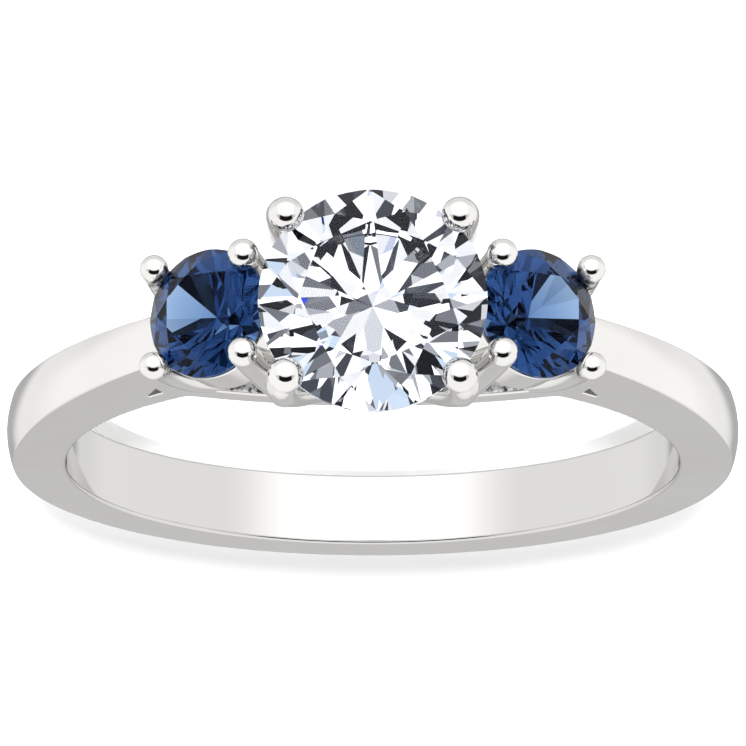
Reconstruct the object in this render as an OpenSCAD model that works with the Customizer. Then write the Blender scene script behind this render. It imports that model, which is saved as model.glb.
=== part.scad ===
// Three stone ring: a round white stone between two round blue ones, in claw settings.
// It is modelled as worn, with X across the finger, Y along it and Z towards the stones,
// then laid on its side the way a loose ring comes to rest. Millimetres.

/* [Finger hole] */
// Inside diameter, US size 6
finger_d = 16.5; // [15:0.1:19]

/* [Shank] */
// Thickness at the crown of the outside
shank_t = 1.6; // [1.3:0.05:2]
// Width at the back of the finger
back_w = 2; // [1.6:0.05:2.6]
// Width at the two sides
side_w = 1.86; // [1.5:0.05:2.4]
// Width where the shoulders meet the side stones
shoulder_w = 1.4; // [1.2:0.05:1.8]
// Radius of the domed outside, across the width
dome_r = 2.5; // [1.8:0.1:6]
// Radius of the shoulders' crown, seen through the finger hole
shoulder_r = 16.2; // [14:0.2:20]
// Angle from the stones at which the shoulders begin to rise
shoulder_from = 78; // [70:1:84]

/* [Gallery] */
// Thickness of the rails under the stones, outwards from the finger
gallery_t = 0.85; // [0.7:0.05:1.1]
// Width over both rails at the middle
gallery_w = 2.88; // [2.6:0.02:3.2]
// Radius of the rails' sides, seen from above
gallery_r = 17.5; // [15:0.5:22]
// Width of one rail
rail_w = 0.62; // [0.5:0.01:0.75]
// Width of the bridges between the openings under the stones
bridge_w = 0.6; // [0.4:0.05:0.8]

/* [Centre stone] */
// Diameter of the centre stone
center_d = 5.8; // [5.4:0.05:6.2]
// Height of its girdle above the finger
center_up = 5.08; // [4.8:0.02:5.6]

/* [Side stones] */
// Diameter of each side stone
side_d = 3.35; // [3:0.05:3.6]
// Outward lean of each side stone
side_lean = 29; // [25:1:32]
// How far a side stone's inner edge lies below the centre stone's girdle
side_drop = 0.39; // [0.36:0.01:0.7]
// How far that edge tucks in under the centre stone
side_tuck = 0.18; // [0:0.01:0.2]

/* [Cut of the stones] */
// Width of the centre stone's table, as a share of its diameter
center_table_share = 0.64; // [0.54:0.01:0.66]
// Width of a side stone's table, as a share of its diameter
side_table_share = 0.58; // [0.54:0.01:0.66]
// Angle of the crown's main facets
crown_angle = 34.5; // [31:0.5:36]
// Angle of the pavilion's main facets
pavilion_angle = 40.8; // [40:0.1:42]
// Thickness of the girdle, as a share of the diameter
girdle_share = 0.03; // [0.026:0.002:0.04]
// Length of the star facets, as a share of the way to the girdle
star_share = 0.5; // [0.4:0.05:0.6]
// Length of the lower girdle facets, as a share of the way to the point
lower_share = 0.77; // [0.7:0.01:0.85]
// Turn of the centre stone's facets
center_turn = 2; // [0:0.5:22]
// Turn of the side stones' facets
side_turn = 22.5; // [0:0.5:44]

/* [Claws] */
// Diameter of the centre stone's claws
claw_d = 0.86; // [0.78:0.01:0.94]
// Diameter of a side stone's claws next to the centre stone
inner_claw_d = 0.74; // [0.66:0.01:0.8]
// Diameter of a side stone's claws next to the shank
outer_claw_d = 0.66; // [0.62:0.01:0.72]
// How much wider the rounded tip of a claw is
tip_extra = 0.06; // [0.03:0.01:0.1]
// How far outside the girdle the centre of a centre claw's tip lies
tip_out = 0.22; // [0.18:0.01:0.26]
// How far outside the girdle the centre of an inner claw's tip lies
inner_tip_out = 0.13; // [0.11:0.01:0.18]
// How far outside the girdle the centre of an outer claw's tip lies
outer_tip_out = 0.26; // [0.2:0.01:0.28]
// How far above the girdle the centre of a centre claw's tip lies
tip_up = 0.18; // [0.14:0.01:0.26]
// How far above the girdle the centre of an inner claw's tip lies
inner_tip_up = 0.3; // [0.24:0.01:0.34]
// How far above the girdle the centre of an outer claw's tip lies
outer_tip_up = 0.24; // [0.2:0.01:0.3]
// How much farther out a centre claw stands just below its tip
bend_out = 0.08; // [0.05:0.01:0.12]
// Distance between the feet of the centre stone's claws, along the rails
center_feet = 1.6; // [1.2:0.1:2]
// Distance between the feet of the two side stones' inner claws
inner_feet = 4.6; // [4.2:0.1:5]

/* [Seats] */
// Gap between a stone and the metal that holds it
stone_gap = 0.04; // [0.03:0.01:0.06]
// Height of the collar under a side stone
collar_h = 0.85; // [0.7:0.05:1]
// Wall of that collar
collar_wall = 0.45; // [0.35:0.05:0.55]

/* [Hidden] */
$fn = 96;

finger_r = finger_d / 2;
crown_r = finger_r + shank_t;
gallery_out_r = finger_r + gallery_t;
gallery_mid_r = finger_r + gallery_t / 2;
center_r = center_d / 2;
side_r = side_d / 2;
claw_r = claw_d / 2;
inner_claw_r = inner_claw_d / 2;
outer_claw_r = outer_claw_d / 2;

// Centres of the girdles; a side stone's is given for the +X side
center_z = finger_r + center_up;
side_x = center_r - side_tuck + side_r * cos(side_lean);
side_z = center_z - side_drop - side_r * sin(side_lean);

// The shank has its shoulder width at this angle from the stones
shoulder_at = 35;
shoulder_z = crown_r * cos(shoulder_at);
// A section of the shank reaches this far past the finger's wall
past_wall = 1.6;
section_depth = shank_t + past_wall;
// A shoulder is swept through this angle, and its end cut shortens it
shoulder_sweep = 36;
// Half the size of the blocks that cut or limit other shapes
reach = 20;

// Angles at which a side stone's claws stand round it, from its side away from the centre
outer_tip_at = 42;
inner_tip_at = 133;

// A side stone's outer claw bends where it meets the shank's side, and sinks into it
knee_past_stone = 0.84;
knee_above_rail = 1.1;
knee_sink = 0.03;
knee_x = side_x + knee_past_stone;
knee_r = gallery_out_r + knee_above_rail;
knee_z = sqrt(knee_r * knee_r - knee_x * knee_x);
// The shoulder's end is cut this far from the bend
end_x = knee_x - 0.3;
end_z = knee_z - 0.4;

// How far in from a rail's outer side the claws' feet stand on it
center_foot_in = 0.55;
inner_foot_in = 0.18;
outer_foot_in = 0.2;
outer_foot_x = side_x - 0.15;

// The rails run on into the shank, and the openings end this far past the side stones' centres
rail_end_x = knee_x + 0.3;
opening_end_x = side_x + 0.2;

// Facets round a stone: eight main ones, and steps of the girdle between two of its corners
mains = 8;
half_main = 180 / mains;
corner_steps = 4;

function half_width(z) =
    z > 0 ? side_w / 2 - (side_w - shoulder_w) / 2 * z / shoulder_z
          : side_w / 2 - (back_w - side_w) / 2 * z / crown_r;
function dome_drop(half) = dome_r - sqrt(dome_r * dome_r - half * half);
function rail_side_y(x, inset) =
    gallery_w / 2 - gallery_r + sqrt(pow(gallery_r - inset, 2) - x * x);
function foot(x, inset) =
    [x, rail_side_y(x, inset), sqrt(gallery_mid_r * gallery_mid_r - x * x)];

// The ring tilts until the shank's back and the centre stone's girdle both touch the floor
back_edge_r = crown_r - dome_drop(half_width(-crown_r));
rest_tilt = atan((center_r - half_width(-back_edge_r))
    / (center_z - girdle_share * center_r + back_edge_r));

module both_sides() {
    children();
    mirror([1, 0, 0]) children();
}

module front_and_back() {
    children();
    mirror([0, 1, 0]) children();
}

// Puts what is drawn around Z around the finger, with its Y towards the stones
module around_finger() {
    rotate([90, 0, 0]) children();
}

// Puts what is drawn around Z around the axis of the side stone on the +X side
module at_side_stone() {
    translate([side_x, 0, side_z])
        rotate([0, side_lean, 0])
            children();
}

// Lays the worn ring on its side, tilted as it rests, with the photographed side up
module laid_down() {
    rotate([-rest_tilt, 0, 0])
        rotate([0, 180, 0])
            rotate([90, 0, 0])
                children();
}

// Straight round wire from a to b
module wire(a, b, r) {
    v = b - a;
    translate(a)
        rotate([0, acos(v.z / norm(v)), atan2(v.y, v.x)])
            cylinder(h = norm(v), r = r);
}

module ball(at, r) {
    translate(at) sphere(r = r);
}

// D section of the shank, with its crown at the distance r from the axis it turns about
module shank_section(r) {
    intersection() {
        translate([r - dome_r, 0]) circle(r = dome_r);
        translate([r - section_depth, -dome_r]) square([section_depth + past_wall, 2 * dome_r]);
    }
}

module shank_back() {
    around_finger()
        rotate([0, 0, 90 + shoulder_from])
            rotate_extrude(angle = 360 - 2 * shoulder_from)
                shank_section(crown_r);
}

// One shoulder, which leaves the back's circle on a larger one and ends under a side stone
module shoulder() {
    difference() {
        around_finger()
            rotate([0, 0, 90 - shoulder_from])
                translate([crown_r - shoulder_r, 0, 0])
                    rotate_extrude(angle = shoulder_sweep)
                        shank_section(shoulder_r);
        translate([end_x, 0, end_z])
            rotate([0, side_lean, 0])
                translate([-reach, -reach, -section_depth])
                    cube([reach, 2 * reach, reach]);
    }
}

// The taper of the shank's width, as a block with flat sides
module taper() {
    rotate([90, 0, 90])
        translate([0, 0, -reach])
            linear_extrude(height = 2 * reach)
                polygon([
                    [-half_width(-reach), -reach], [half_width(-reach), -reach],
                    [half_width(0), 0], [half_width(reach / 2), reach / 2],
                    [-half_width(reach / 2), reach / 2], [-half_width(0), 0]
                ]);
}

module shank() {
    intersection() {
        union() {
            shank_back();
            both_sides() shoulder();
        }
        taper();
    }
}

// Outline of the gallery from above, or of its hollow when it is inset
module lens(inset) {
    intersection() {
        translate([0, gallery_w / 2 - gallery_r]) circle(r = gallery_r - inset, $fn = 360);
        translate([0, gallery_r - gallery_w / 2]) circle(r = gallery_r - inset, $fn = 360);
    }
}

module gallery_plan() {
    difference() {
        intersection() {
            lens(0);
            square([2 * rail_end_x, 2 * gallery_w], center = true);
        }
        intersection() {
            lens(rail_w);
            union() {
                square([inner_feet - bridge_w, gallery_w], center = true);
                both_sides()
                    translate([(inner_feet + bridge_w) / 2, -gallery_w / 2])
                        square([opening_end_x - (inner_feet + bridge_w) / 2, gallery_w]);
            }
        }
    }
}

// Two rails along the finger hole, which join under the stones
module gallery() {
    intersection() {
        linear_extrude(height = reach) gallery_plan();
        around_finger() cylinder(r = gallery_out_r, h = 2 * gallery_w, center = true);
    }
}

// One of the four claws of the centre stone
module center_claw() {
    tip_xy = (center_r + tip_out) * cos(45);
    bend_xy = (center_r + tip_out + bend_out) * cos(45);
    tip = [tip_xy, tip_xy, center_z + tip_up];
    bend = [bend_xy, bend_xy, center_z - tip_up];
    wire(foot(center_feet / 2, center_foot_in), bend, claw_r);
    ball(bend, claw_r + tip_extra / 2);
    wire(bend, tip, claw_r);
    ball(tip, claw_r + tip_extra / 2);
}

// Place of a claw's tip about the side stone, in the ring's axes
function side_tip(r, at, up) = [
    side_x + r * cos(at) * cos(side_lean) + up * sin(side_lean),
    r * sin(at),
    side_z - r * cos(at) * sin(side_lean) + up * cos(side_lean)
];

// A side stone's claw next to the centre stone
module inner_claw() {
    tip = side_tip(side_r + inner_tip_out, inner_tip_at, inner_tip_up);
    wire(foot(inner_feet / 2, inner_foot_in), tip, inner_claw_r);
    ball(tip, inner_claw_r + tip_extra / 2);
}

// A side stone's claw next to the shank, which bends down into the rail
module outer_claw() {
    tip = side_tip(side_r + outer_tip_out, outer_tip_at, outer_tip_up);
    knee = [knee_x, shoulder_w / 2 + outer_claw_r - knee_sink, knee_z];
    wire(foot(outer_foot_x, outer_foot_in), knee, outer_claw_r);
    ball(knee, outer_claw_r + tip_extra / 2);
    wire(knee, tip, outer_claw_r);
    ball(tip, outer_claw_r + tip_extra / 2);
}

// The collar that a side stone rests in, under its girdle
module collar() {
    top = -girdle_share * side_r;
    at_side_stone()
        rotate_extrude()
            translate([side_r - collar_wall, top - collar_h])
                square([collar_wall, collar_h]);
}

// Radii and heights of a stone's corners, for its diameter and its table's share of it
function girdle_h(d) = girdle_share * d / 2;
function table_r(d, table) = table * d / 2;
function table_z(d, table) = girdle_h(d) + (1 - table) * d / 2 * tan(crown_angle);
function star_r(d, table) =
    table_r(d, table) * cos(half_main) * (1 - star_share) + star_share * d / 2;
function star_z(d, table) =
    girdle_h(d) + (d / 2 - star_r(d, table) * cos(half_main)) * tan(crown_angle);
function lower_r(d) = (1 - lower_share) * d / 2;
function lower_z(d) =
    -girdle_h(d) - (d / 2 - lower_r(d) * cos(half_main)) * tan(pavilion_angle);
function point_z(d) = -girdle_h(d) - d / 2 * tan(pavilion_angle);

// The round space that a stone needs, with the gap
module stone_space(d, table) {
    g = stone_gap;
    rotate_extrude()
        polygon([
            [0, point_z(d) - 2 * g],
            [lower_r(d) + g, lower_z(d) - g],
            [d / 2 + g, -girdle_h(d) - g / 2],
            [d / 2 + g, girdle_h(d) + g / 2],
            [star_r(d, table) + g, star_z(d, table) + g],
            [table_r(d, table), table_z(d, table) + g],
            [0, table_z(d, table) + g]
        ]);
}

// Height of the girdle's wavy edge at the angle a, where a flat facet cuts the round wall;
// the facet runs from two corners of the girdle to one at the given radius and height
function wave(d, a, inner_r, inner_z) =
    let (
        middle = (floor(a / half_main) + 0.5) * half_main,
        slope = (inner_z - girdle_h(d)) / ((d / 2 - inner_r) * cos(half_main / 2))
    )
    girdle_h(d) - slope * d / 2 * (cos(a - middle) - cos(half_main / 2));

function circle_points(n, r, z, turn) =
    [for (i = [0 : n - 1]) [r * cos(turn + i * 360 / n), r * sin(turn + i * 360 / n), z]];

// A round brilliant with its girdle centred on the origin: eight main facets, eight stars and
// sixteen upper girdle facets round the table, and eight mains and sixteen lower ones below
module brilliant(d, table) {
    s = corner_steps;
    n = 2 * mains * s;
    step = 360 / n;
    top = [for (i = [0 : n - 1])
        [d / 2 * cos(i * step), d / 2 * sin(i * step),
         i % s == 0 ? girdle_h(d) : wave(d, i * step, star_r(d, table), star_z(d, table))]];
    bottom = [for (i = [0 : n - 1])
        [d / 2 * cos(i * step), d / 2 * sin(i * step),
         i % s == 0 ? -girdle_h(d) : -wave(d, i * step, lower_r(d), -lower_z(d))]];
    rim = circle_points(mains, table_r(d, table), table_z(d, table), 0);
    stars = circle_points(mains, star_r(d, table), star_z(d, table), half_main);
    lowers = circle_points(mains, lower_r(d), lower_z(d), half_main);
    rim_i = 2 * n;
    stars_i = rim_i + mains;
    lowers_i = stars_i + mains;
    point_i = lowers_i + mains;
    around = [0 : mains - 1];
    corners = [0 : 2 * mains - 1];
    polyhedron(
        points = concat(top, bottom, rim, stars, lowers, [[0, 0, point_z(d)]]),
        faces = concat(
            [[for (k = around) rim_i + mains - 1 - k]],
            [for (k = around) [rim_i + k, rim_i + (k + 1) % mains, stars_i + k]],
            [for (k = around)
                [rim_i + k, stars_i + k, 2 * s * k, stars_i + (k + mains - 1) % mains]],
            [for (c = corners)
                concat([stars_i + floor(c / 2)], [for (j = [s : -1 : 0]) (s * c + j) % n])],
            [for (i = [0 : n - 1]) [i, (i + 1) % n, n + (i + 1) % n, n + i]],
            [for (c = corners)
                concat([lowers_i + floor(c / 2)], [for (j = [0 : s]) n + (s * c + j) % n])],
            [for (k = around)
                [point_i, lowers_i + (k + mains - 1) % mains, n + 2 * s * k, lowers_i + k]]
        ));
}

module shank_and_setting() {
    color("silver")
        laid_down()
            difference() {
                union() {
                    shank();
                    gallery();
                    both_sides() {
                        front_and_back() {
                            center_claw();
                            inner_claw();
                            outer_claw();
                        }
                        collar();
                    }
                }
                around_finger() cylinder(r = finger_r, h = reach, center = true);
                translate([0, 0, center_z]) stone_space(center_d, center_table_share);
                both_sides() at_side_stone() stone_space(side_d, side_table_share);
            }
}

module center_stone() {
    color("white")
        laid_down()
            translate([0, 0, center_z])
                rotate([0, 0, center_turn])
                    brilliant(center_d, center_table_share);
}

// The side stone on the left of the photograph
module left_side_stone() {
    color("royalblue")
        laid_down()
            mirror([1, 0, 0])
                at_side_stone()
                    rotate([0, 0, side_turn])
                        brilliant(side_d, side_table_share);
}

// The side stone on the right of the photograph
module right_side_stone() {
    color("royalblue")
        laid_down()
            at_side_stone()
                rotate([0, 0, side_turn])
                    brilliant(side_d, side_table_share);
}

shank_and_setting();
center_stone();
left_side_stone();
right_side_stone();
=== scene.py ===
import math

import bpy
import numpy as np
from mathutils import Matrix, Vector


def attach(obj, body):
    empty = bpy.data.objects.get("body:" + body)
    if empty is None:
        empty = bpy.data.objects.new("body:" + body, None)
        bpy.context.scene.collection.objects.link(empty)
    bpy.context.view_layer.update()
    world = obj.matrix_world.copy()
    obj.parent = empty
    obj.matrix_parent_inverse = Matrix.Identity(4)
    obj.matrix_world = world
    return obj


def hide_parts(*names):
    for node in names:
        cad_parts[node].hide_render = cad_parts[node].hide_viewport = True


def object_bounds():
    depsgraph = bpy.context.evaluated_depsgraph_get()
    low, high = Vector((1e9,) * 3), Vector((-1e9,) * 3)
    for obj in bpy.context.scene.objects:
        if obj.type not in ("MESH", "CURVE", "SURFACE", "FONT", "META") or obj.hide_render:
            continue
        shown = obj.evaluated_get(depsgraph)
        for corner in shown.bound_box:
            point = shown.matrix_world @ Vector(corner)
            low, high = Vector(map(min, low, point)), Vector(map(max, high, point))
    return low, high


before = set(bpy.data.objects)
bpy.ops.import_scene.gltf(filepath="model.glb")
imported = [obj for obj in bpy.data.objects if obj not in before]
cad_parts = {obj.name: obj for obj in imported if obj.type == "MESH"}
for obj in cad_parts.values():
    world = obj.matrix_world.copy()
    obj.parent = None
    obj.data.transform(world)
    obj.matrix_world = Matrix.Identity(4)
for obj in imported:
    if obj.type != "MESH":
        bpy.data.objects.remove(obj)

# A three stone ring, lying on its side. Shapes are worked out in millimetres as the ring is worn,
# with X across the finger, Y along it and Z towards the stones, and toRow lays them down. Angles
# are in degrees, and those round the finger start at the stones.
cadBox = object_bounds()

shank = {
    "fingerR": 8.25,        # inside radius
    "crownR": 9.85,         # radius of the crown of the outside
    "domeR": 2.5,           # radius of the dome across the width
    "backW": 2.0, "sideW": 1.86, "shoulderW": 1.4,
    "shoulderZ": 8.0686,    # height at which the width is shoulderW
    "shoulderR": 16.2, "shoulderFrom": 78,
    "endAt": 29.15,         # angle at which a shoulder ends
    "innerEdge": 0.09, "outerEdge": 0.09,   # how round the edges are worn and polished
    "endDepth": 0.06,       # how far the closing faces bulge
    "stations": 330, "edgeSteps": 9, "sideSteps": 40, "domeSteps": 14,
}
# The small triangular hollow in each flat side by the stones' seat
hollow = {
    "corners": ((5.625, 7.41), (5.877, 6.67), (5.46, 7.08)),    # in X and Z
    "depth": 0.34,
    "wall": 0.05,           # how far inside the three edges it is at full depth
    "pressFrom": 0.4, "pressBlend": 0.1,    # Y past which the shank is pressed in
    "from": 36.6, "to": 42.4, "stations": 44,   # where the shank is given more stations
    "shadeBlockTop": 0.012,       # how far under the flat side the top of its block of painted shade lies
    "shadeBlockUnder": 0.1,       # how far the floor's block goes on below the depth
    "shadeBlockSteps": 8,
}
centerStone = {"r": 2.9, "z": 13.33, "girdle": 0.03}
sideStone = {"r": 1.675, "lean": 29, "x": 4.185, "z": 12.128, "girdle": 0.03}
# The stones' crown and pavilion angles, and how far the setting stays from a stone and the finger
cut = {"crown": 34.5, "pavilion": 40.8, "gap": 0.04, "fingerGap": 0.01}


def halfWidth(z):
    # straight taper from the sides to the shoulders, and a slighter one to the back
    toShoulder = (shank["sideW"] - shank["shoulderW"]) / 2 * z / shank["shoulderZ"]
    toBack = (shank["backW"] - shank["sideW"]) / 2 * z / shank["crownR"]
    return shank["sideW"] / 2 - np.where(z > 0, toShoulder, toBack)


def domeDrop(half):
    # how far a circle of the dome's radius has fallen at this distance from its top
    return shank["domeR"] - np.sqrt(shank["domeR"] ** 2 - half ** 2)


backEdgeR = shank["crownR"] - domeDrop(halfWidth(-shank["crownR"]))
restTilt = math.atan((centerStone["r"] - halfWidth(-backEdgeR))
                     / (centerStone["z"] - centerStone["girdle"] * centerStone["r"] + backEdgeR))


def toRow(points):
    # turns the worn ring onto its side, tilts it as it rests, and turns millimetres to metres
    x, y, z = np.moveaxis(np.asarray(points, float), -1, 0)
    c, s = math.cos(restTilt), math.sin(restTilt)
    return np.stack([-x, -z * c - y * s, z * s - y * c], -1) * 0.001


def unit(v):
    # the same direction, with a length of 1
    return v / np.linalg.norm(v, axis=-1, keepdims=True)


def pieceFromGrid(name, grid, material, poles=None, closedAlong=False, seatAndShade=None):
    # grid[i, j] is a surface of two parameters: j goes round and closes, i goes along;
    # poles are the two points that close the first and the last round;
    # seat is 1 at a point of the surface that lies against a stone, and 0 away from it, and lays
    # painted shade there
    along, around = grid.shape[:2]
    last = along if closedAlong else along - 1
    i, j = np.meshgrid(np.arange(last), np.arange(around), indexing="ij")
    here, beside = i * around + j, i * around + (j + 1) % around
    step = ((i + 1) % along - i) * around
    quads = np.stack([here, beside, beside + step, here + step], -1).reshape(-1, 4)
    points = grid.reshape(-1, 3)
    faces = quads.tolist()
    corners = np.concatenate([quads[:, [0, 1, 2]], quads[:, [0, 2, 3]]])
    if poles is not None:
        first, end = len(points), len(points) + 1
        k = np.arange(around)
        start = np.stack([np.full(around, first), (k + 1) % around, k], -1)
        base = (along - 1) * around
        finish = np.stack([np.full(around, end), base + k, base + (k + 1) % around], -1)
        points = np.concatenate([points, np.asarray(poles, float)])
        faces += start.tolist() + finish.tolist()
        corners = np.concatenate([corners, start, finish])
    points = toRow(points)
    a, b, c = (points[corners[:, k]] for k in range(3))
    volume = (a * np.cross(b, c)).sum()
    if volume < 0:      # the parameters ran the other way round, so the faces are turned
        faces = [face[::-1] for face in faces]
    mesh = bpy.data.meshes.new(name)
    mesh.from_pydata(points.tolist(), [], faces)
    mesh.validate()
    mesh.shade_smooth()
    mesh.materials.append(material)
    if seatAndShade is not None:
        mesh.attributes.new("seatAndShade", "FLOAT", "POINT").data.foreach_set("value", seatAndShade)
    piece = bpy.data.objects.new(name, mesh)
    bpy.context.scene.collection.objects.link(piece)
    piece.visible_transmission = False      # the stones gather the panels alone through their backs
    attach(piece, "root")
    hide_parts("shank_and_setting")


def mirrored(grid, acrossX=False, acrossY=False):
    # the other side of the ring: left for right, or near for far
    return grid * np.array([-1 if acrossX else 1, -1 if acrossY else 1, 1])


def cornerArc(before, corner, after, radius, steps):
    # arc of a circle that rounds the corner, as a rational quadratic between its two tangent points
    d1, d2 = unit(before - corner), unit(after - corner)
    half = np.arccos(np.clip((d1 * d2).sum(-1), -1, 1)) / 2
    reach = (radius / np.tan(half))[:, None, None]
    w = np.sin(half)[:, None, None]
    s = np.linspace(0, 1, steps)[None, :, None]
    a = corner[:, None] + d1[:, None] * reach
    b = corner[:, None] + d2[:, None] * reach
    top = (1 - s) ** 2 * a + 2 * s * (1 - s) * w * corner[:, None] + s ** 2 * b
    return top / ((1 - s) ** 2 + 2 * s * (1 - s) * w + s ** 2)


def between(a, b, shares):
    # points at these shares of the straight way from a to b
    s = np.asarray(shares)[None, :, None]
    return a[:, None] * (1 - s) + b[:, None] * s


def srgb(code):
    # linear colour of an sRGB hex code
    v = np.array([int(code[k:k + 2], 16) for k in (1, 3, 5)]) / 255
    v = np.where(v <= 0.04045, v / 12.92, ((v + 0.055) / 1.055) ** 2.4)
    return (*[float(c) for c in v], 1.0)


def addNode(tree, kind, inputs=None, **settings):
    # an input that is another node's output is linked, and any other is set
    node = tree.nodes.new(kind)
    for key, value in settings.items():
        setattr(node, key, value)
    for key, value in (inputs or {}).items():
        if isinstance(value, bpy.types.NodeSocket):
            tree.links.new(value, node.inputs[key])
        else:
            node.inputs[key].default_value = value
    return node


def newMaterial(name):
    material = bpy.data.materials.new(name)
    material.use_nodes = True
    material.node_tree.nodes.clear()
    return material, material.node_tree


# White gold, 18 carat, cast, polished and rhodium plated: a bright, slightly cool mirror. The eye
# finds it in long clean reflections that a wheel's hair lines and a faint ripple just disturb.
metal = {
    # inside is painted shade: the finger's side is made darker than the rest
    "color": "#E9E8E6", "dull": "#DDDBD8", "inside": "#CDCCCA",
    "cloudMm": 3.1, "cloud": (0.3, 0.7), "roughness": (0.045, 0.09),
    "insideShadeFrom": 0.00002, "insideShadeTo": 0.0001,      # metres outside the finger's circle
    "rippleMm": 2.4, "rippleHeight": 0.0000012,
    "hairMm": 1 / 1.4, "hairThin": 14, "hairHeight": 0.0000002,     # 14 times as long as wide
    # coarse grain whose dark flecks are painted shade, drawn from this distance to the finger's
    # axis outwards, or by the stones
    "filedShade": "#4A4A4C", "filedMm": 0.16, "filedHeight": 0.00005, "grain": (0.4, 0.56),
    "filedShadeFrom": 0.00903, "filedShadeTo": 0.00906,
    "coarseShaded": {"gallery": 0.3, "seats": 0.55},      # roughness
}


def polishedWhiteGold(name, coarseShaded=None):
    material, tree = newMaterial(name)
    place = addNode(tree, "ShaderNodeTexCoord").outputs["Object"]
    cloud = addNode(tree, "ShaderNodeTexNoise",
                    {"Vector": place, "Scale": 1000 / metal["cloudMm"], "Detail": 3.0,
                     "Roughness": 0.6})
    color = addNode(tree, "ShaderNodeMix", {0: cloud.outputs[0], 6: srgb(metal["color"]),
                                            7: srgb(metal["dull"])}, data_type="RGBA")
    # the finger's side is painted a little darker, as shade inside the finger hole: told by its
    # distance to the axis
    axis = toRow([0, 1, 0]) * 1000
    off = addNode(tree, "ShaderNodeVectorMath", {0: place, 1: tuple(axis)},
                  operation="CROSS_PRODUCT")
    off = addNode(tree, "ShaderNodeVectorMath", {0: off.outputs[0]}, operation="LENGTH")
    fingerR = shank["fingerR"] * 0.001
    insideShade = addNode(tree, "ShaderNodeMapRange",
                      {0: off.outputs["Value"], 1: fingerR + metal["insideShadeFrom"],
                       2: fingerR + metal["insideShadeTo"], 3: 1.0, 4: 0.0})
    color = addNode(tree, "ShaderNodeMix", {0: insideShade.outputs[0], 6: color.outputs[2],
                                            7: srgb(metal["inside"])}, data_type="RGBA")
    rough = addNode(tree, "ShaderNodeMapRange",
                    {0: cloud.outputs[0], 1: metal["cloud"][0], 2: metal["cloud"][1],
                     3: metal["roughness"][0], 4: metal["roughness"][1]})
    ripple = addNode(tree, "ShaderNodeTexNoise",
                     {"Vector": place, "Scale": 1000 / metal["rippleMm"], "Detail": 1.0})
    stretched = addNode(tree, "ShaderNodeMapping",
                        {"Vector": place, "Scale": (1, 1, metal["hairThin"])})
    hair = addNode(tree, "ShaderNodeTexNoise",
                   {"Vector": stretched.outputs[0], "Scale": 1000 / metal["hairMm"],
                    "Detail": 2.0})
    wave = addNode(tree, "ShaderNodeBump", {"Strength": 1.0, "Distance": metal["rippleHeight"],
                                            "Height": ripple.outputs[0]})
    fine = addNode(tree, "ShaderNodeBump", {"Strength": 1.0, "Distance": metal["hairHeight"],
                                            "Height": hair.outputs[0], "Normal": wave.outputs[0]})
    if coarseShaded:      # a tool's coarse grain where no wheel reaches, with painted shade in its dark flecks
        if coarseShaded == "gallery":     # its upper side, under the stones
            raw = addNode(tree, "ShaderNodeMapRange",
                          {0: off.outputs["Value"], 1: metal["filedShadeFrom"],
                           2: metal["filedShadeTo"]}).outputs[0]
        else:       # the seats cut into the claws
            raw = addNode(tree, "ShaderNodeAttribute", attribute_name="seatAndShade").outputs["Fac"]
        grain = addNode(tree, "ShaderNodeTexNoise", {"Vector": place, "Detail": 4.0,
                                                     "Scale": 1000 / metal["filedMm"]})
        # painted shade: the grain's flecks are made dark grey under the stones and in the claws'
        # seats
        shadeDark = addNode(tree, "ShaderNodeMapRange",
                       {0: grain.outputs[0], 1: metal["grain"][0], 2: metal["grain"][1],
                        3: 1.0, 4: 0.0})
        shadeDark = addNode(tree, "ShaderNodeMath", {0: shadeDark.outputs[0], 1: raw},
                       operation="MULTIPLY")
        color = addNode(tree, "ShaderNodeMix", {0: shadeDark.outputs[0], 6: color.outputs[2],
                                                7: srgb(metal["filedShade"])}, data_type="RGBA")
        rough = addNode(tree, "ShaderNodeMapRange", {0: raw, 3: rough.outputs[0],
                                                     4: metal["coarseShaded"][coarseShaded]})
        deep = addNode(tree, "ShaderNodeMath", {0: grain.outputs[0], 1: raw}, operation="MULTIPLY")
        fine = addNode(tree, "ShaderNodeBump", {"Strength": 1.0, "Distance": metal["filedHeight"],
                                                "Height": deep.outputs[0],
                                                "Normal": fine.outputs[0]})
    surface = addNode(tree, "ShaderNodeBsdfPrincipled",
                      {"Base Color": color.outputs[2], "Metallic": 1.0,
                       "Roughness": rough.outputs[0], "Normal": fine.outputs[0]})
    addNode(tree, "ShaderNodeOutputMaterial", {"Surface": surface.outputs[0]})
    return material


whiteGold = polishedWhiteGold("rhodium_plated_white_gold_polished")
# these two carry painted shade in their grain, under the stones and in the claws' seats
filedShadeGold = polishedWhiteGold("rhodium_plated_white_gold_polished_filed_and_painted_shade", "gallery")
cutSeatShadeGold = polishedWhiteGold("rhodium_plated_white_gold_polished_with_cut_seats", "seats")
print("materials of the metal ready")


# The shank: a D section carried round the finger. Its inner face is the finger's circle; its dome
# lies on the crown's circle at the back and on the larger shoulder circle towards the stones.
def crownRadius(phi, y):
    # how far from the finger's axis the dome is at this angle and at this Y
    turn = math.radians(shank["shoulderFrom"])
    out = shank["crownR"] - shank["shoulderR"]
    along = out * math.sin(turn) * np.abs(np.sin(phi)) + out * math.cos(turn) * np.cos(phi)
    onShoulder = along + np.sqrt((shank["shoulderR"] - domeDrop(y)) ** 2 - out ** 2 + along ** 2)
    return np.where(np.cos(phi) > math.cos(turn), onShoulder, shank["crownR"] - domeDrop(y))


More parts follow.
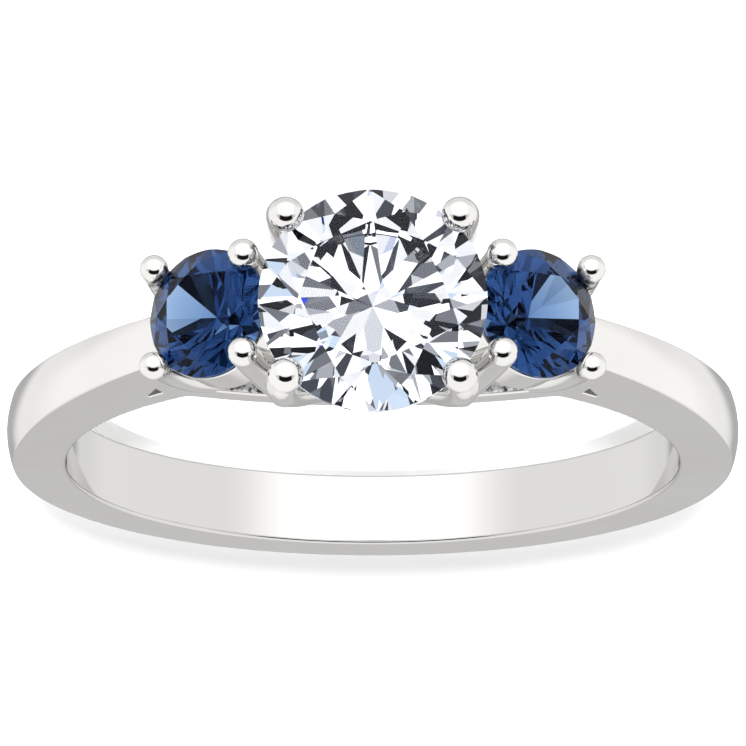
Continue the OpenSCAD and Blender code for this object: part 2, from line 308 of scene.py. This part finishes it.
def shankGrid():
    end = math.radians(shank["endAt"])
    fine = np.radians(np.linspace(hollow["from"], hollow["to"], hollow["stations"]))
    phi = np.sort(np.concatenate([np.linspace(end, 2 * math.pi - end, shank["stations"]),
                                  fine, 2 * math.pi - fine]))
    inR = np.full_like(phi, shank["fingerR"])
    inY = halfWidth(inR * np.cos(phi))
    outR = inR + 1.3        # a first guess; six rounds settle it
    for _ in range(6):      # the outer edge lies both on the flat side and on the dome
        outY = halfWidth(outR * np.cos(phi))
        outR = crownRadius(phi, outY)
    inner, outer = np.stack([inY, inR], -1), np.stack([outY, outR], -1)
    middleIn = np.stack([0 * inY, inR], -1)
    besideEdge = outY - 0.05        # the dome leaves the edge straight towards this point
    onDome = np.stack([besideEdge, crownRadius(phi, besideEdge)], -1)
    steps = shank["edgeSteps"]
    innerArc = cornerArc(middleIn, inner, outer, np.full_like(phi, shank["innerEdge"]), steps)
    outerArc = cornerArc(inner, outer, onDome, np.full_like(phi, shank["outerEdge"]), steps)
    # shares of each face's breadth, which stop short of the rounded edges beside it
    acrossSide = np.linspace(0.02, 0.98, shank["sideSteps"])
    acrossDome = np.linspace(0.985, 0, shank["domeSteps"])
    acrossInside = np.array([0, 0.3, 0.6, 0.85, 0.97])
    side = between(innerArc[:, -1], outerArc[:, 0], acrossSide)
    domeY = outerArc[:, -1, :1] * acrossDome[None]
    dome = np.stack([domeY, crownRadius(phi[:, None], domeY)], -1)
    insideY = innerArc[:, 0, :1] * acrossInside[None]
    inside = np.stack([insideY, np.broadcast_to(inR[:, None], insideY.shape)], -1)
    half = np.concatenate([inside, innerArc, side, outerArc, dome], 1)
    other = half[:, 1:-1][:, ::-1] * np.array([-1, 1])
    loop = np.concatenate([half, other], 1)
    y, r = loop[..., 0], loop[..., 1]
    x, z = r * np.sin(phi)[:, None], r * np.cos(phi)[:, None]
    return np.stack([x, hollowed(x, y, z), z], -1)


def hollowed(x, y, z):
    # presses the hollow into the flat sides: full depth a little inside the triangle's three edges
    corners = np.array(hollow["corners"])
    inside = np.full_like(x, 1.0)
    for k in range(3):
        a, b, c = corners[k], corners[(k + 1) % 3], corners[(k + 2) % 3]
        normal = np.array([a[1] - b[1], b[0] - a[0]])
        normal = normal / np.linalg.norm(normal) * np.sign(normal @ (c - a))
        inside = np.minimum(inside, (np.abs(x) - a[0]) * normal[0] + (z - a[1]) * normal[1])
    share = (np.clip(inside / hollow["wall"], 0, 1)
             * np.clip((np.abs(y) - hollow["pressFrom"]) / hollow["pressBlend"], 0, 1))
    return y - np.sign(y) * hollow["depth"] * share


# Each end closes in a softly rounded face: the last round is repeated smaller and further on, as
# a quarter of an ellipse rises from its full size to half of it, and one point closes it
def closeEnds(grid, depth, shares=(0.985, 0.93, 0.8, 0.5), fullness=0.98):
    def endRounds(first, second):
        middle = first.mean(0)
        ahead = unit((first - second).mean(0))
        rounds = []
        for share in shares:
            rise = math.sqrt(1 - (share - 0.5) ** 2 * 4 * fullness)
            rounds.append(middle + (first - middle) * share + ahead * depth * rise)
        return np.array(rounds), middle + ahead * depth
    start, startPole = endRounds(grid[0], grid[1])
    finish, finishPole = endRounds(grid[-1], grid[-2])
    return np.concatenate([start[::-1], grid, finish]), [startPole, finishPole]


shankPoints, shankPoles = closeEnds(shankGrid(), shank["endDepth"])
pieceFromGrid("shank", shankPoints, whiteGold, shankPoles)


# White gold as cast, in hollows that no wheel reaches: matt beside the polish, and painted dark
# grey as the shade in them
cast = {"shadeDark": "#2E2E30", "light": "#8C8B89", "grainMm": 1 / 9, "roughness": 0.55}


def castSkinWithShade():
    material, tree = newMaterial("white_gold_as_cast_with_painted_shade")
    place = addNode(tree, "ShaderNodeTexCoord").outputs["Object"]
    grain = addNode(tree, "ShaderNodeTexNoise",
                    {"Vector": place, "Scale": 1000 / cast["grainMm"], "Detail": 3.0})
    color = addNode(tree, "ShaderNodeMix", {0: grain.outputs[0], 6: srgb(cast["shadeDark"]),
                                            7: srgb(cast["light"])}, data_type="RGBA")
    surface = addNode(tree, "ShaderNodeBsdfPrincipled",
                      {"Base Color": color.outputs[2], "Metallic": 1.0,
                       "Roughness": cast["roughness"]})
    addNode(tree, "ShaderNodeOutputMaterial", {"Surface": surface.outputs[0]})
    return material


# A three-sided block of painted shade in each hollow, carried straight up from under its bottom,
# whose top
# is only just below the flat side: two rounds along the triangle's edges, each closed by a middle
# point
def hollowShadeBlock(left, near):
    corners = np.array(hollow["corners"])
    middle = corners.mean(0)
    depths = [hollow["depth"] + hollow["shadeBlockUnder"], hollow["shadeBlockTop"]]
    shares = np.linspace(0, 1, hollow["shadeBlockSteps"], endpoint=False)[:, None]
    rounds = []
    for depth in depths:
        ring = np.concatenate([corners[k] + (corners[(k + 1) % 3] - corners[k]) * shares
                               for k in range(3)])
        y = halfWidth(ring[:, 1]) - depth
        rounds.append(np.stack([ring[:, 0], y, ring[:, 1]], -1))
    poles = [[middle[0], halfWidth(middle[1]) - depth, middle[1]] for depth in depths]
    return mirrored(np.array(rounds), left, near), mirrored(np.array(poles), left, near)


# the hollows' dark blocks are painted shade
castShadeGold = castSkinWithShade()
for side, left in (("left", True), ("right", False)):
    for end, near in (("near", True), ("far", False)):
        points, poles = hollowShadeBlock(left, near)
        pieceFromGrid("_".join(["hollow", side, end]), points, castShadeGold, poles)
print("shank done")


# Stones: how far a point is outside the crown's cone, the girdle's cylinder and the pavilion's
# cone, measured in the plane through the stone's axis; a point nearer than the gap is pushed out
def clearOfStone(points, stone, place, lean, measured=False):
    a = math.radians(lean)
    out, up = np.array([math.cos(a), 0, -math.sin(a)]), np.array([math.sin(a), 0, math.cos(a)])
    rel = points - place
    x, y, z = rel @ out, rel[..., 1], rel @ up
    r = np.hypot(x, y)
    girdleZ = stone["girdle"] * stone["r"]
    crown, pavilion = math.radians(cut["crown"]), math.radians(cut["pavilion"])
    sides = np.array([[math.sin(crown), math.cos(crown)], [1, 0],
                      [math.sin(pavilion), -math.cos(pavilion)]])
    offsets = np.array([stone["r"] * sides[0, 0] + girdleZ * sides[0, 1], stone["r"],
                        stone["r"] * sides[2, 0] - girdleZ * sides[2, 1]])
    away = r[..., None] * sides[:, 0] + z[..., None] * sides[:, 1] - offsets
    if measured:
        return away.max(-1)
    nearest = away.argmax(-1)
    push = np.maximum(cut["gap"] - away.max(-1), 0)
    newR = r + push * sides[nearest, 0]
    newZ = z + push * sides[nearest, 1]
    scale = newR / np.maximum(r, 1e-9)
    return (place + (x * scale)[..., None] * out + newZ[..., None] * up
            + (y * scale)[..., None] * np.array([0, 1, 0]))


centerPlace = (centerStone, np.array([0, 0, centerStone["z"]]), 0)
sidePlace = (sideStone, np.array([sideStone["x"], 0, sideStone["z"]]), sideStone["lean"])


def clearOfStones(points):
    # of the centre stone, and then of the side stone on the same side
    return clearOfStone(clearOfStone(points, *centerPlace), *sidePlace)


def seatAndShadeShare(points, wide, fade=0.05):
    # 1 close to a stone, falling to 0 over the fade before this distance from it: where a claw's
    # seat gets painted shade
    away = np.minimum(clearOfStone(points, *centerPlace, measured=True),
                      clearOfStone(points, *sidePlace, measured=True))
    return np.clip((wide - away) / fade, 0, 1)


def clearOfFinger(points):
    # a point inside the finger's circle moves straight away from the axis until it is clear of it
    r = np.hypot(points[..., 0], points[..., 2])
    scale = np.maximum(shank["fingerR"] + cut["fingerGap"], r) / r
    return points * np.stack([scale, np.ones_like(scale), scale], -1)


# The gallery: two rails whose sides are arcs seen from above, and the bridges that join them
gallery = {
    "outR": 9.1, "width": 2.88, "sideR": 17.5,
    "railW": 0.62, "endX": 5.36, "edge": 0.17,
    "slotEnd": 4.385, "slotBlend": 0.12,    # X at which the opening between the rails closes
    "overlap": 0.02,        # how far each rail passes the middle beyond that
    "shankFrom": 4.03, "shankBlend": 0.05, "shankGap": 0.012,   # where a rail runs in the shank
    "bridgeX": 2.3, "bridgeW": 0.6, "bridgeEdge": 0.08,
    "bridgeInto": 0.2, "bridgeIn": 0.005, "bridgeOut": 0.02,    # how a bridge sinks into the rails
    "endDepth": 0.02,
    "stations": 221, "bridgeStations": 25,
}


def railSide(x, inset):
    # height of a circle of radius sideR less the inset, whose top is at half the gallery's width
    return (gallery["width"] / 2 - gallery["sideR"]
            + np.sqrt((gallery["sideR"] - inset) ** 2 - x ** 2))


def roundedBlock(low, high, inR, outR, edge, arcSteps=7, sideShares=(0.06, 0.35, 0.65, 0.94)):
    # four corners in the plane of width and distance from the finger's axis, each one rounded
    corners = [np.stack([a, b], -1) for a, b in
               ((low, inR), (high, inR), (high, outR), (low, outR))]
    arcs = [cornerArc(corners[k - 1], corners[k], corners[(k + 1) % 4], edge, arcSteps)
            for k in range(4)]
    sides = [between(arcs[k][:, -1], arcs[(k + 1) % 4][:, 0], sideShares) for k in range(4)]
    return np.concatenate([part for pair in zip(arcs, sides) for part in pair], 1)


def railGrid():
    # a rounded block carried along X between its own two arcs, on the finger's circle; past the
    # opening's end its inner side swings smoothly over to the ring's middle
    x = np.linspace(-gallery["endX"], gallery["endX"], gallery["stations"])
    blend = gallery["slotBlend"]
    past = np.clip((np.abs(x) - gallery["slotEnd"] + blend) / (2 * blend), 0, 1)
    inner = (railSide(x, gallery["railW"]) * (1 - past * past * (3 - 2 * past))
             - gallery["overlap"] * past)
    edge = np.full_like(x, gallery["edge"])
    # inside the shank the rail keeps a little further from the finger than the shank's own face
    sunk = np.clip((np.abs(x) - gallery["shankFrom"]) / gallery["shankBlend"], 0, 1)
    inR = shank["fingerR"] + gallery["shankGap"] * sunk
    loop = roundedBlock(inner, railSide(x, 0), inR, np.full_like(x, gallery["outR"]), edge)
    y, r = loop[..., 0], loop[..., 1]
    wide = np.broadcast_to(x[:, None], y.shape)
    return np.stack([wide, y, np.sqrt(r ** 2 - wide ** 2)], -1)


def bridgeGrid(x):
    # a rounded block carried along Y, from inside one rail to inside the other
    reach = railSide(np.array(x), gallery["railW"]) + gallery["bridgeInto"]
    y = np.linspace(-1, 1, gallery["bridgeStations"]) * reach
    n = np.ones_like(y)
    loop = roundedBlock((x - gallery["bridgeW"] / 2) * n, (x + gallery["bridgeW"] / 2) * n,
                        (shank["fingerR"] + gallery["bridgeIn"]) * n,
                        (gallery["outR"] - gallery["bridgeOut"]) * n, gallery["bridgeEdge"] * n)
    across, r = loop[..., 0], loop[..., 1]
    return np.stack([across, np.broadcast_to(y[:, None], across.shape),
                     np.sqrt(r ** 2 - across ** 2)], -1)


for side, flip in (("near", True), ("far", False)):
    points, poles = closeEnds(mirrored(railGrid(), acrossY=flip), gallery["endDepth"])
    pieceFromGrid("gallery_rail_" + side, points, filedShadeGold, poles)
for side, sign in (("left", -1), ("right", 1)):
    points, poles = closeEnds(bridgeGrid(sign * gallery["bridgeX"]), gallery["endDepth"])
    pieceFromGrid("gallery_bridge_" + side, points, filedShadeGold, poles)
print("gallery done")


# Claws: a round section carried along a cubic curve, wider at its foot and with a ball for a tip.
# Points are in X, Y and Z, nearTip and farTip move the tip along Y, and seat is how far from a
# stone the cut seat, with the painted shade laid on it, reaches.
claws = {
    "center": {"foot": (0.72, 0.8, 8.5), "leave": (1.3, 1.36, 10.3), "arrive": (2.68, 2.62, 12.8),
               "tip": (2.19, 2.1, 13.64), "r": 0.41, "tipExtra": 0.045,
               "flare": 0.12, "flareLength": 0.5, "nearTip": -0.07, "farTip": 0.07,
               "seatAndShade": 0.1},
    "inner": {"foot": (2.27, 1.08, 8.5), "leave": (2.6, 1.2, 10.0), "arrive": (3.1, 1.3, 12.0),
              "tip": (3.28, 1.28, 13.12), "r": 0.37, "tipExtra": 0.03,
              "flare": 0.05, "flareLength": 0.4, "seatAndShade": 0.13},
    "outer": {"foot": (3.9, 0.55, 7.85), "leave": (4.7, 0.85, 8.4), "arrive": (5.2, 0.93, 9.75),
              "tip": (5.57, 1.28, 11.73), "r": 0.33, "tipExtra": 0.035,
              "flare": 0.0, "flareLength": 0.4, "seatAndShade": 0.34},
}
clawSteps = {"along": 90, "over": 24, "around": 56}


def clawGrid(claw):
    a, b, c, d = (np.array(claw[key], float) for key in ("foot", "leave", "arrive", "tip"))
    t = np.linspace(0, 1, clawSteps["along"])[:, None]
    line = ((1 - t) ** 3 * a + 3 * (1 - t) ** 2 * t * b + 3 * (1 - t) * t ** 2 * c + t ** 3 * d)
    ahead = unit(3 * (1 - t) ** 2 * (b - a) + 6 * (1 - t) * t * (c - b) + 3 * t ** 2 * (d - c))
    gone = np.concatenate([[0], np.linalg.norm(np.diff(line, axis=0), axis=1).cumsum()])
    left = gone[-1] - gone
    ball = claw["r"] + claw["tipExtra"]
    radius = claw["r"] + claw["flare"] * np.exp(-(gone / claw["flareLength"]) ** 2)
    # the ball's sphere rises out of the wire where its circle is wider than the wire
    radius = np.maximum(radius, np.sqrt(np.maximum(ball ** 2 - left ** 2, 0)))
    turn = np.linspace(0, math.pi / 2, clawSteps["over"])[1:-1]
    line = np.concatenate([line, d + ahead[-1] * (ball * np.sin(turn))[:, None]])
    radius = np.concatenate([radius, ball * np.cos(turn)])
    ahead = np.concatenate([ahead, np.repeat(ahead[-1:], len(turn), 0)])
    side = unit(np.cross(ahead, np.array([0, 1.0, 0])))
    other = np.cross(side, ahead)
    angle = np.linspace(0, 2 * math.pi, clawSteps["around"], endpoint=False)
    grid = (line[:, None] + radius[:, None, None]
            * (np.cos(angle)[None, :, None] * side[:, None]
               + np.sin(angle)[None, :, None] * other[:, None]))
    return grid, [a, d + ahead[-1] * ball]


for kind, claw in claws.items():
    for near in (False, True):
        # the centre stone's near claws reach a little farther over it than the far ones
        reach = claw.get("nearTip" if near else "farTip", 0)
        grid, poles = clawGrid(dict(claw, tip=np.add(claw["tip"], (0, reach, 0))))
        whole = clearOfStones(np.concatenate([grid.reshape(-1, 3), np.array(poles)]))
        whole = clearOfFinger(whole)
        # the cut seats, and the painted shade on them
        seatAndShade = seatAndShadeShare(whole, claw["seatAndShade"])
        grid, poles = whole[:-2].reshape(grid.shape), whole[-2:]
        for left in (False, True):
            name = "_".join([kind, "claw", "left" if left else "right", "near" if near else "far"])
            pieceFromGrid(name, mirrored(grid, left, near), cutSeatShadeGold, mirrored(poles, left, near),
                          seatAndShade=seatAndShade)
print("claws done")


# Collars: a rounded rectangle carried round the side stone's axis, with the seat cut into it
collar = {"outR": 1.69, "wall": 0.46, "top": -0.06, "height": 1.2, "edge": 0.1, "around": 160}


def collarGrid():
    turn = np.linspace(0, 2 * math.pi, collar["around"], endpoint=False)
    n = np.ones_like(turn)
    loop = roundedBlock((collar["outR"] - collar["wall"]) * n, collar["outR"] * n,
                        (collar["top"] - collar["height"]) * n, collar["top"] * n,
                        collar["edge"] * n)
    r, up = loop[..., 0], loop[..., 1]
    a = math.radians(sideStone["lean"])
    out = r * np.cos(turn)[:, None]
    points = np.stack([sideStone["x"] + out * math.cos(a) + up * math.sin(a),
                       r * np.sin(turn)[:, None],
                       sideStone["z"] - out * math.sin(a) + up * math.cos(a)], -1)
    return clearOfFinger(clearOfStones(points))


for side, left in (("left", True), ("right", False)):
    pieceFromGrid("collar_" + side, mirrored(collarGrid(), acrossX=left), whiteGold,
                  closedAlong=True)
print("collars done")


# Diamond, cut and polished: colourless and very strongly bending, so it shows splinters of the
# lights and of the dark between them.
diamondLook = {"clear": "#FFFFFF", "cool": "#F1F6FF", "cloudMm": 10 / 7, "ior": 2.417,
               "mirror": "#5C6068"}     # how much its outside mirrors the tent


def polishedDiamond():
    material, tree = newMaterial("diamond_cut_and_polished")
    place = addNode(tree, "ShaderNodeTexCoord").outputs["Object"]
    cloud = addNode(tree, "ShaderNodeTexNoise",
                    {"Vector": place, "Scale": 1000 / diamondLook["cloudMm"], "Detail": 1.0})
    color = addNode(tree, "ShaderNodeMix",
                    {0: cloud.outputs[0], 6: srgb(diamondLook["clear"]),
                     7: srgb(diamondLook["cool"])}, data_type="RGBA")
    surface = addNode(tree, "ShaderNodeBsdfPrincipled",
                      {"Base Color": color.outputs[2], "Roughness": 0.0,
                       "IOR": diamondLook["ior"], "Specular Tint": srgb(diamondLook["mirror"]),
                       "Transmission Weight": 1.0})
    addNode(tree, "ShaderNodeOutputMaterial", {"Surface": surface.outputs[0]})
    return material


# Sapphire, cut and polished: deep royal blue that thins to a greyer blue where light crosses
# little of the stone, with faint cloudy zones of a deeper tint.
sapphireLook = {"skin": "#C6D2E0", "zone": "#AEBFD6", "zoneMm": 10 / 9, "ior": 1.77,
                "mirror": "#2C3242",    # how much its outside mirrors the tent
                "depth": "#2293C8", "perMetre": 800.0}      # what its inside lets through


def polishedSapphire():
    material, tree = newMaterial("sapphire_cut_and_polished")
    place = addNode(tree, "ShaderNodeTexCoord").outputs["Object"]
    zones = addNode(tree, "ShaderNodeTexNoise",
                    {"Vector": place, "Scale": 1000 / sapphireLook["zoneMm"], "Detail": 2.0})
    color = addNode(tree, "ShaderNodeMix",
                    {0: zones.outputs[0], 6: srgb(sapphireLook["skin"]),
                     7: srgb(sapphireLook["zone"])}, data_type="RGBA")
    surface = addNode(tree, "ShaderNodeBsdfPrincipled",
                      {"Base Color": color.outputs[2], "Roughness": 0.0,
                       "IOR": sapphireLook["ior"], "Specular Tint": srgb(sapphireLook["mirror"]),
                       "Transmission Weight": 1.0})
    inside = addNode(tree, "ShaderNodeVolumeAbsorption",
                     {"Color": srgb(sapphireLook["depth"]), "Density": sapphireLook["perMetre"]})
    addNode(tree, "ShaderNodeOutputMaterial",
            {"Surface": surface.outputs[0], "Volume": inside.outputs[0]})
    return material


diamond, sapphire = polishedDiamond(), polishedSapphire()
for node, material in (("center_stone", diamond), ("left_side_stone", sapphire),
                       ("right_side_stone", sapphire)):
    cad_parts[node].data.materials[0] = material
print("stones done")


# Floor: a seamless matt white table, painted, which the ring's back and the centre stone rest on.
# The eye finds no gloss in it, and a grain too fine to see.
table = {"white": "#CBCBCB", "grey": "#C8C8C8", "grainMm": 10 / 9, "roughness": 0.9,
         "gloss": 0.2, "half": 1.5}     # half its width is in metres


def paleFloor():
    material, tree = newMaterial("matt_white_table")
    place = addNode(tree, "ShaderNodeTexCoord").outputs["Object"]
    grain = addNode(tree, "ShaderNodeTexNoise",
                    {"Vector": place, "Scale": 1000 / table["grainMm"], "Detail": 3.0})
    color = addNode(tree, "ShaderNodeMix", {0: grain.outputs[0], 6: srgb(table["white"]),
                                            7: srgb(table["grey"])}, data_type="RGBA")
    surface = addNode(tree, "ShaderNodeBsdfPrincipled",
                      {"Base Color": color.outputs[2], "Roughness": table["roughness"],
                       "Specular IOR Level": table["gloss"]})
    addNode(tree, "ShaderNodeOutputMaterial", {"Surface": surface.outputs[0]})
    mesh = bpy.data.meshes.new("floor")
    w, z = table["half"], cadBox[0].z
    mesh.from_pydata([(-w, -w, z), (w, -w, z), (w, w, z), (-w, w, z)], [], [(0, 1, 2, 3)])
    mesh.materials.append(material)
    floor = bpy.data.objects.new("floor", mesh)
    bpy.context.scene.collection.objects.link(floor)
    # the metal and the stones mirror the tent alone, and the table takes their shadow
    floor.visible_glossy = floor.visible_transmission = False
    return floor


floor = paleFloor()

# Light: a white tent with a few darker parts. Round is measured about the picture's level axis,
# from the camera (0) over its top (90) to the back wall (180) or under it (-90), and aside is
# measured to the left and right of that. All are in degrees.
tent = {
    "white": 1.19,
    "patches": [    # round, half of it, aside, half of it, softness, brightness
        (40, 30, 0, 38, 20, 1.95),      # the lamp's side, over the camera
        (128, 34, 0, 52, 11, 0.9),      # the upper back
        (180, 60, 0, 46, 12, 1.0),
        (180, 46, 0, 28, 5, 0.64),      # the back wall, seen in the flat sides and far edges
        (176, 24, 0, 24, 4, 0.48),
    ],
    # a black flag in front of the tent: outside the first circle and inside the second, each given
    # by its middle's round and its radius, and ending softly between two heights at eye level
    "flagInner": (44, 57), "flagOuter": (22, 68), "flag": 0.01, "flagSoft": 3.5,
    "flagTop": (-0.12, 0.06),
    # its cloth is thinner to the sides and lets this much through
    "thinFrom": 37, "thinTo": 44, "thin": 0.6,
}
# What the stones gather through their facets: many small panels, from black over grey to white,
# and a rare blue. The panels from powerFrom on are brighter.
panels = {"perRadius": 5.0, "place": (20.8, 3.2, 3.1),
          "power": (1.25, 1.55), "powerFrom": (0.8, 0.82),
          "tones": ((0.0, "#0C0D10"), (0.15, "#3A3D44"), (0.25, "#6E7075"), (0.36, "#A0A2A7"),
                    (0.46, "#C0D0E2"), (0.49, "#C8CACE"), (0.60, "#E6E7E9"), (0.70, "#FFFFFF"),
                    (0.994, "#2440D0"))}


def mathNode(tree, operation, *values):
    # one step of arithmetic on numbers or other nodes' outputs
    return addNode(tree, "ShaderNodeMath", dict(enumerate(values)), operation=operation).outputs[0]


def ramp(tree, value, start, end, low, high):
    # goes softly from low at the start to high at the end
    return addNode(tree, "ShaderNodeMapRange", {0: value, 1: start, 2: end, 3: low, 4: high},
                   interpolation_type="SMOOTHSTEP").outputs[0]


def along(tree, way, axis):
    # how much of the way runs along the axis
    return addNode(tree, "ShaderNodeVectorMath", {0: way, 1: tuple(axis)},
                   operation="DOT_PRODUCT").outputs["Value"]


def inPatch(tree, value, middle, half, soft):
    # 1 where the angle is within half of the middle, the short way round, and 0 outside
    off = mathNode(tree, "WRAP", mathNode(tree, "SUBTRACT", value, math.radians(middle)),
                   math.pi, -math.pi)
    off = mathNode(tree, "ABSOLUTE", off)
    return ramp(tree, off, math.radians(half - soft), math.radians(half + soft), 1.0, 0.0)


def whiteTent(right, up, back):
    world = bpy.data.worlds.new("tent")
    bpy.context.scene.world = world
    world.use_nodes = True
    tree = world.node_tree
    tree.nodes.clear()
    way = addNode(tree, "ShaderNodeTexCoord").outputs["Generated"]
    toUp, toBack, toRight = (along(tree, way, axis) for axis in (up, back, right))
    turn = mathNode(tree, "ARCTAN2", toUp, toBack)
    aside = mathNode(tree, "ARCSINE", toRight)
    light = tent["white"]
    for middle, half, sideMiddle, sideHalf, soft, value in tent["patches"]:
        mask = mathNode(tree, "MULTIPLY", inPatch(tree, turn, middle, half, soft),
                        inPatch(tree, aside, sideMiddle, sideHalf, soft))
        light = addNode(tree, "ShaderNodeMix", {0: mask, 2: light, 3: value},
                        data_type="FLOAT").outputs[0]
    rounds = []
    for tilt, size in (tent["flagInner"], tent["flagOuter"]):
        a = math.radians(tilt)
        off = mathNode(tree, "ARCCOSINE", along(tree, way, back * math.cos(a) + up * math.sin(a)))
        rounds.append(ramp(tree, off, math.radians(size - tent["flagSoft"]),
                           math.radians(size + tent["flagSoft"]), 1.0, 0.0))
    crescent = mathNode(tree, "MULTIPLY", rounds[1], mathNode(tree, "SUBTRACT", 1.0, rounds[0]))
    crescent = mathNode(tree, "MULTIPLY", crescent, ramp(tree, toUp, *tent["flagTop"], 1.0, 0.0))
    cloth = ramp(tree, mathNode(tree, "ABSOLUTE", aside), math.radians(tent["thinFrom"]),
                 math.radians(tent["thinTo"]), 1.0, 1.0 - tent["thin"])
    crescent = mathNode(tree, "MULTIPLY", crescent, cloth)
    light = addNode(tree, "ShaderNodeMix", {0: crescent, 2: light, 3: tent["flag"]},
                    data_type="FLOAT").outputs[0]
    moved = addNode(tree, "ShaderNodeVectorMath", {0: way, 1: panels["place"]}, operation="ADD")
    cells = addNode(tree, "ShaderNodeTexVoronoi",
                    {"Vector": moved.outputs[0], "Scale": panels["perRadius"]})
    chance = addNode(tree, "ShaderNodeSeparateColor", {0: cells.outputs["Color"]})
    tone = addNode(tree, "ShaderNodeValToRGB", {0: chance.outputs[0]})
    tone.color_ramp.interpolation = "CONSTANT"
    for k, (start, code) in enumerate(panels["tones"]):
        stop = tone.color_ramp.elements[k] if k < 2 else tone.color_ramp.elements.new(start)
        stop.position, stop.color = start, srgb(code)
    power = ramp(tree, chance.outputs[0], *panels["powerFrom"], *panels["power"])
    plain = addNode(tree, "ShaderNodeBackground", {"Color": (1, 1, 1, 1), "Strength": light})
    gathered = addNode(tree, "ShaderNodeBackground", {"Color": tone.outputs[0], "Strength": power})
    path = addNode(tree, "ShaderNodeLightPath")
    both = addNode(tree, "ShaderNodeMixShader", {0: path.outputs["Is Transmission Ray"],
                                                 1: plain.outputs[0], 2: gathered.outputs[0]})
    addNode(tree, "ShaderNodeOutputWorld", {"Surface": both.outputs[0]})


# Lamps for the table alone: a low one in front that draws the shadow behind the ring, and a spot
# overhead that keeps the table white inside the finger hole. Part of the spot's light passes the
# ring, so the table is only a soft grey under it. Rise is in degrees and distance in metres.
spot = {"kind": "SPOT", "rise": 90, "distance": 0.3, "shadow_soft_size": 0.01,
        "spot_size": math.radians(5.6), "spot_blend": 0.35}
lamps = {
    "low": {"kind": "AREA", "rise": 13.2, "distance": 1.0, "power": 56,
            "shape": "DISK", "size": 0.11},
    "overhead": {**spot, "power": 2.4},
    "overhead_fill": {**spot, "power": 3.8, "passesRing": True},
}


def tableLamp(name, lamp):
    data = bpy.data.lights.new(name, lamp["kind"])
    data.energy = lamp["power"]
    for key in ("shape", "size", "shadow_soft_size", "spot_size", "spot_blend"):
        if key in lamp:
            setattr(data, key, lamp[key])
    light = bpy.data.objects.new(name, data)
    bpy.context.scene.collection.objects.link(light)
    rise = math.radians(lamp["rise"])
    way = Vector((0, -math.cos(rise), math.sin(rise)))
    light.location = way * lamp["distance"]
    light.rotation_mode = "QUATERNION"
    light.rotation_quaternion = way.to_track_quat("Z", "Y")
    # the metal and the stones mirror the tent, not these lamps
    light.visible_glossy = light.visible_transmission = light.visible_camera = False
    if lamp.get("passesRing"):      # the table alone blocks it, so it casts no shadow of the ring
        blockers = bpy.data.collections.new(name + "_blockers")
        blockers.objects.link(floor)
        light.light_linking.blocker_collection = blockers


for name, lamp in lamps.items():
    tableLamp(name + "_lamp", lamp)

# Camera: found by fitting the shank's inner and outer edges in the photograph. The focal length,
# the side and the place of the finger hole's middle are in the photograph's pixels.
photo = {"side": 746, "focal": 7418.53, "distanceMm": 200, "tilt": 14.7054,
         "middleX": 372.747, "middleY": 434.707,
         "sensorMm": 36, "clip": (0.005, 10)}       # clip is in metres


def photoCamera():
    # its three axes are directions of the worn ring, laid down with it, each of length 1
    t = math.radians(photo["tilt"])
    back = toRow([0, -math.sin(t), math.cos(t)]) * 1000
    up = toRow([0, math.cos(t), math.sin(t)]) * 1000
    right = np.cross(up, back)
    place = back * photo["distanceMm"] * 0.001
    data = bpy.data.cameras.new("camera")
    camera = bpy.data.objects.new("camera", data)
    bpy.context.scene.collection.objects.link(camera)
    data.sensor_width = photo["sensorMm"]
    data.sensor_fit = "HORIZONTAL"
    data.lens = data.sensor_width * photo["focal"] / photo["side"]
    half = photo["side"] / 2
    data.shift_x = (half - photo["middleX"]) / photo["side"]
    data.shift_y = (photo["middleY"] - half) / photo["side"]
    data.clip_start, data.clip_end = photo["clip"]
    rows = np.stack([right, up, back, place], -1).tolist()
    camera.matrix_world = Matrix(rows + [[0, 0, 0, 1]])
    bpy.context.scene.camera = camera
    return right, up, back


whiteTent(*photoCamera())
scene = bpy.context.scene
scene.view_settings.view_transform = "Standard"
bounces = 24        # light turns many times inside a cut stone
scene.cycles.max_bounces = bounces
scene.cycles.transmission_bounces = bounces
print("floor, light and camera done")
